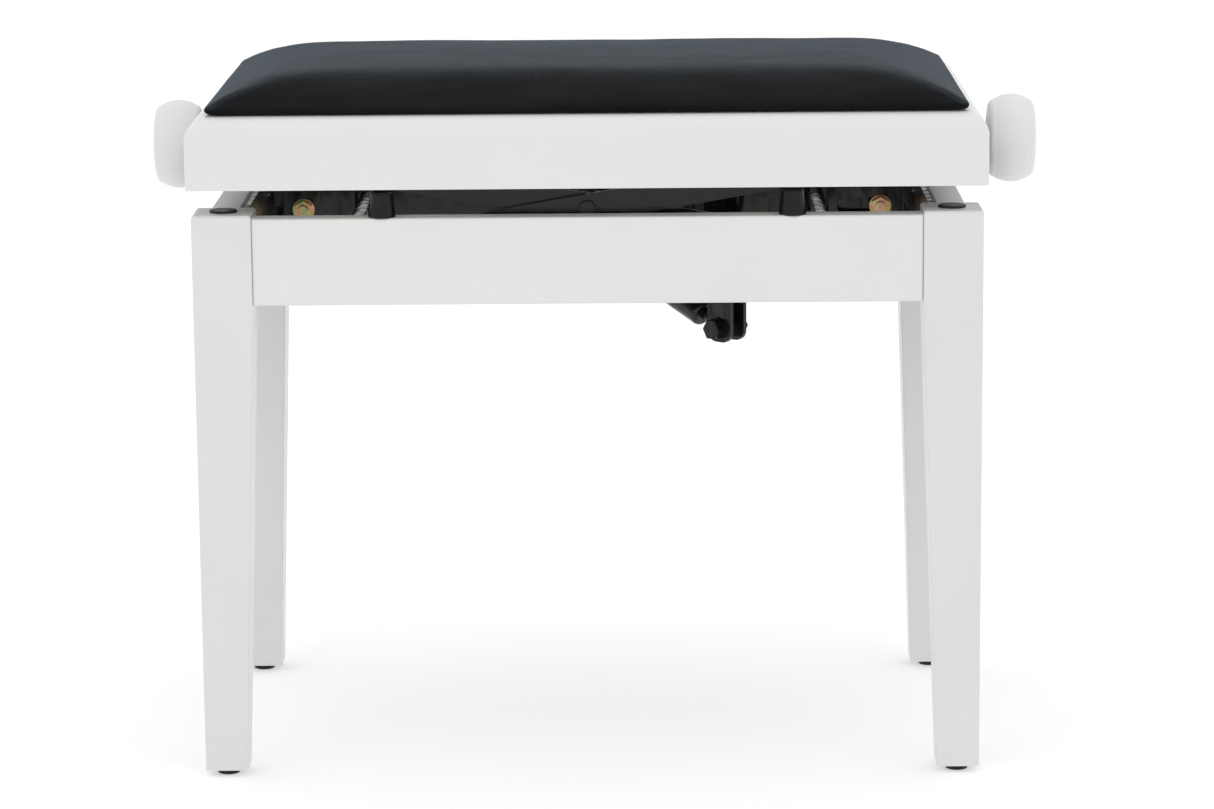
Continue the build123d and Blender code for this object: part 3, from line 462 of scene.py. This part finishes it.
def inflate(piece):
    """Cloth under pressure, tacked at its base, capped in how far it moves, then calmed."""
    rest = [vertex.co.copy() for vertex in piece.data.vertices]
    tacked = pinned(piece)
    cloth = piece.modifiers.new("cloth", "CLOTH")
    cloth.settings.use_pressure = True
    cloth.settings.uniform_pressure_force = 4.0
    cloth.settings.tension_stiffness = 18
    cloth.settings.compression_stiffness = 18
    cloth.settings.shear_stiffness = 8
    cloth.settings.bending_stiffness = 2.5
    cloth.settings.mass = 0.25
    cloth.settings.vertex_group_mass = tacked
    cloth.settings.effector_weights.gravity = 0
    cloth.collision_settings.use_collision = False
    for step in range(1, CLOTH_FRAMES + 1):
        bpy.context.scene.frame_set(step)
    bake_modifiers(piece)
    bpy.context.scene.frame_set(1)
    for vertex, start in zip(piece.data.vertices, rest):
        move = vertex.co - start
        if move.length > SWELL_CAP:
            vertex.co = start + move * (SWELL_CAP / move.length)
    calm = piece.modifiers.new("calm", "SMOOTH")
    calm.factor, calm.iterations = 0.5, CALM_ROUNDS
    calm.vertex_group, calm.invert_vertex_group = tacked, True
    bake_modifiers(piece)


def corner_tuck(point, centre, half_x, half_y):
    """How deep the folded cloth is drawn in along a corner's diagonal."""
    dx = half_x - abs(point.x - centre.x)
    dy = half_y - abs(point.y - centre.y)
    off_line = (dx - dy) / math.sqrt(2)
    along = (dx + dy) / 2
    fade = max(0.0, 1 - along / TUCK_LENGTH)
    return TUCK_DEPTH * fade * math.exp(-((off_line / TUCK_WIDTH) ** 2))


def settle_cushion(piece):
    """Corner tucks, the hand of the foam under the cloth, and the underside kept flat."""
    centre = (CUSHION_LOW + CUSHION_HIGH) / 2
    half_x = (CUSHION_HIGH.x - CUSHION_LOW.x) / 2
    half_y = (CUSHION_HIGH.y - CUSHION_LOW.y) / 2
    points = [vertex.co.copy() for vertex in piece.data.vertices]
    normals = [vertex.normal.copy() for vertex in piece.data.vertices]
    for point, normal in zip(points, normals):
        height = point.z - CUSHION_LOW.z
        if height < FLAT_H:
            point.z = CUSHION_LOW.z
            continue
        tuck = corner_tuck(point, centre, half_x, half_y)
        wave = noise.noise(point * 14.0) * 0.55 * MM + noise.noise(point * 42.0) * 0.18 * MM
        point += normal * (wave * min(1.0, height / (12 * MM)) - tuck)
    piece.data.vertices.foreach_set("co", [number for point in points for number in point])
    piece.data.update()


def make_cushion(material):
    vertices, faces = cushion_start()
    piece = mesh_piece("seat_pad", vertices, faces, material)
    remesh = piece.modifiers.new("even", "REMESH")
    remesh.mode = "VOXEL"
    remesh.voxel_size = VOXEL
    bake_modifiers(piece)
    inflate(piece)
    smooth = piece.modifiers.new("smooth", "SUBSURF")
    smooth.levels = smooth.render_levels = 1
    bake_modifiers(piece)
    settle_cushion(piece)
    paint(piece, material)
    piece.data.shade_smooth()
    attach(piece, "seat")
    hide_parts("seat_cushion")


# ================================================================ spindle
def make_spindle(material):
    """The spindle with its thread cut between the two end plates."""
    low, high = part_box("spindle")
    plates_low, plates_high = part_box("end_plates")
    centre_y, centre_z = (low.y + high.y) / 2, (low.z + high.z) / 2
    radius = (high.z - low.z) / 2
    start, end = plates_low.x + PLATE_GAP, plates_high.x - PLATE_GAP
    stations = [low.x, low.x, low.x + END_EASE, start - 0.5 * MM]
    count = round((end - start) / THREAD_PITCH * THREAD_STEPS)
    stations += [start + (end - start) * i / count for i in range(count + 1)]
    stations += [end + 0.5 * MM, high.x - END_EASE, high.x, high.x]
    vertices = []
    for index, x in enumerate(stations):
        cut = start <= x <= end
        for side in range(THREAD_SIDES):
            turn = 2 * math.pi * side / THREAD_SIDES
            phase = (x / THREAD_PITCH + side / THREAD_SIDES) % 1.0
            depth = THREAD_DEPTH * (1 - abs(2 * phase - 1)) if cut else 0.0
            reach = radius - depth
            if index in (0, len(stations) - 1):
                reach = 0.5 * radius
            elif index in (1, len(stations) - 2):
                reach = radius - END_EASE
            vertices.append((x, centre_y + reach * math.cos(turn), centre_z + reach * math.sin(turn)))
    faces = tube_faces(len(stations), THREAD_SIDES)
    faces.append(tuple(reversed(range(THREAD_SIDES))))
    faces.append(tuple(range(len(vertices) - THREAD_SIDES, len(vertices))))
    piece = mesh_piece("threaded_spindle", vertices, faces, material)
    piece.data.set_sharp_from_angle(angle=math.radians(50))
    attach(piece, "spindle_set")
    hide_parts("spindle")


# ================================================================ studio
def make_floor():
    finish = Finish("studio_floor", specular_ior_level=0.0, roughness=0.9)
    tone = finish.cloud(3, detail=2)
    finish.drive(base_color=finish.blend(tone, rgb(0.70, 0.70, 0.70), rgb(0.71, 0.71, 0.71)))
    finish.drive(emission_color=rgb(1.0, 1.0, 1.0), emission_strength=FLOOR_GLOW)
    reach = FLOOR_REACH
    corners = [(-reach, -reach, 0), (reach, -reach, 0), (reach, reach, 0), (-reach, reach, 0)]
    floor = mesh_piece("studio_floor", corners, [(0, 1, 2, 3)], finish.material, smooth=False)


def soft_box(name, at, toward, width, height, power):
    data = bpy.data.lights.new(name, "AREA")
    data.shape = "RECTANGLE"
    data.size, data.size_y = width, height
    data.energy = power
    light = bpy.data.objects.new(name, data)
    light.location = at
    light.rotation_euler = (Vector(toward) - Vector(at)).to_track_quat("-Z", "Y").to_euler()
    bpy.context.scene.collection.objects.link(light)


def make_lights():
    world = bpy.data.worlds.new("studio")
    world.use_nodes = True
    sky = world.node_tree.nodes["Background"].inputs
    sky["Color"].default_value = rgb(1.0, 1.0, 1.0)
    sky["Strength"].default_value = SKY_STRENGTH
    bpy.context.scene.world = world
    middle = (0, 0, 0.3)
    soft_box("overhead", (0.0, -0.3, 2.6), middle, 2.6, 2.0, 5)
    soft_box("front_left", (-1.9, -2.4, 1.5), middle, 1.2, 1.2, 3)
    soft_box("front_right", (2.1, -2.2, 1.4), middle, 1.2, 1.2, 2)


def make_camera():
    """Long lens, a little above the seat, looking slightly down."""
    pitch, yaw, roll = (math.radians(a) for a in (CAMERA_PITCH, CAMERA_YAW, CAMERA_ROLL))
    ahead = Vector((math.sin(yaw) * math.cos(pitch), math.cos(yaw) * math.cos(pitch), -math.sin(pitch)))
    level = Vector((math.cos(yaw), -math.sin(yaw), 0))
    upright = level.cross(ahead)
    right = level * math.cos(roll) + upright * math.sin(roll)
    up = upright * math.cos(roll) - level * math.sin(roll)
    data = bpy.data.cameras.new("camera")
    data.lens, data.sensor_width = CAMERA_LENS, SENSOR
    data.clip_end = 100
    camera = bpy.data.objects.new("camera", data)
    camera.matrix_world = Matrix.Translation(CAMERA_AT) @ Matrix((right, up, -ahead)).transposed().to_4x4()
    bpy.context.scene.collection.objects.link(camera)
    bpy.context.scene.camera = camera


LACQUERS, SLOTS = make_finishes()
paint_nodes(LACQUERS, SLOTS)
make_cushion(SLOTS["black_velour"])
make_spindle(SLOTS["bright_steel"])
make_floor()
make_lights()
make_camera()
bpy.context.scene.view_settings.view_transform = "Standard"
